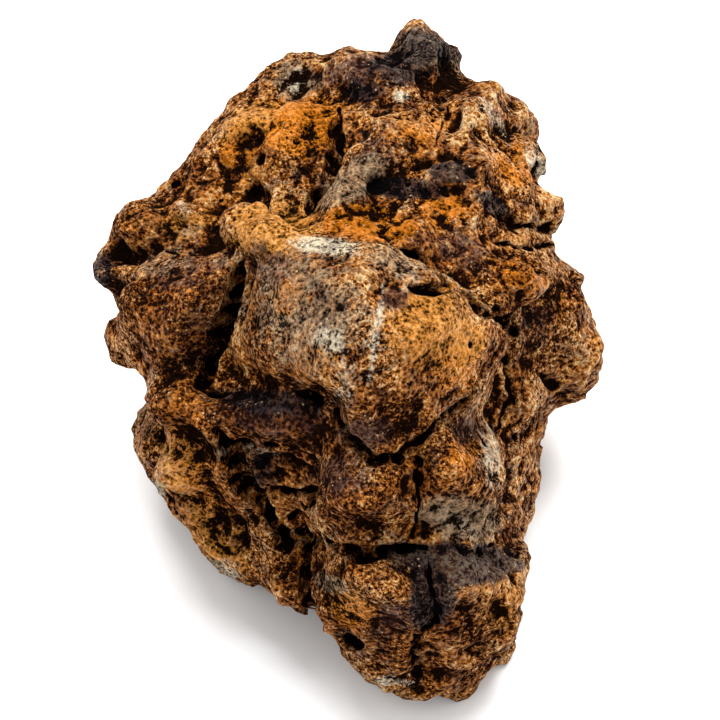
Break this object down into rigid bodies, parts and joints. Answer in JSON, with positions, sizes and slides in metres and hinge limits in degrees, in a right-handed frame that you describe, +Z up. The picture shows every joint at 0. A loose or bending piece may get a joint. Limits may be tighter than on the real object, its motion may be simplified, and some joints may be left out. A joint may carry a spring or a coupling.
{
  "type": "meteorite",
  "caption": "Rusted, lumpy meteorite about as big as a fist: knobs and angular blocks grown together, with deep cracks and hollows between them.",
  "frame": {"origin": "on the table, under the middle of the stone's box", "axes": "+Z up, -Y the front that the show face leans back from, +X to the right of someone looking at the front"},
  "size_m": [0.075, 0.097, 0.0684],
  "materials": {
    "rusted_stone": "rough, rust-crusted"
  },
  "bodies": {
    "root": {"meteorite": "rusted_stone"}
  },
  "joints": []
}
